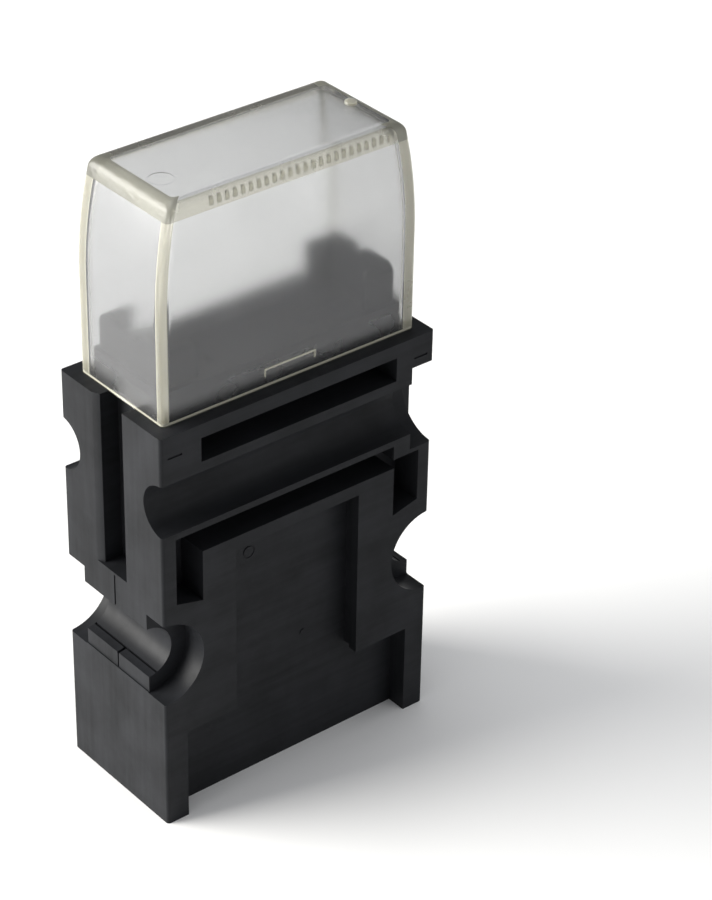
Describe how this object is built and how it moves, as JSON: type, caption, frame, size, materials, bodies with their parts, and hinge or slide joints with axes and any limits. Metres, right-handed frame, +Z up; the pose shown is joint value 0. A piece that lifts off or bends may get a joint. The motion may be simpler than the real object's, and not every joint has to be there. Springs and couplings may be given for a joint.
{
  "type": "blade fuse holder",
  "caption": "Modular inline holder for a large blade fuse: black moulded housing with screw grooves, side key slot and rail, crimp terminals inside and a clear lift-off cover.",
  "frame": {"origin": "centre of the housing's base, midway between the two wire entries", "axes": "+Z up towards the cover, +X to the side with the key rail, -Y towards the front face seen in the picture"},
  "size_m": [0.0406, 0.0186, 0.0784],
  "materials": {
    "black_moulded_plastic": "satin moulded",
    "clear_frosted_plastic": "frosted faces with clear edges",
    "tinned_copper_alloy": "tin plated, bright",
    "spring_steel": "stamped, plain"
  },
  "bodies": {
    "holder": {"housing": "black_moulded_plastic", "terminal_left": "tinned_copper_alloy", "terminal_right": "tinned_copper_alloy", "spring_sleeve_left": "spring_steel", "spring_sleeve_right": "spring_steel"},
    "lid": {"cover": "clear_frosted_plastic"}
  },
  "joints": [
    {"name": "cover_lift", "type": "slide", "parent": "holder", "child": "lid", "axis": [0, 0, 1], "range_m": [0, 0.014]}
  ]
}
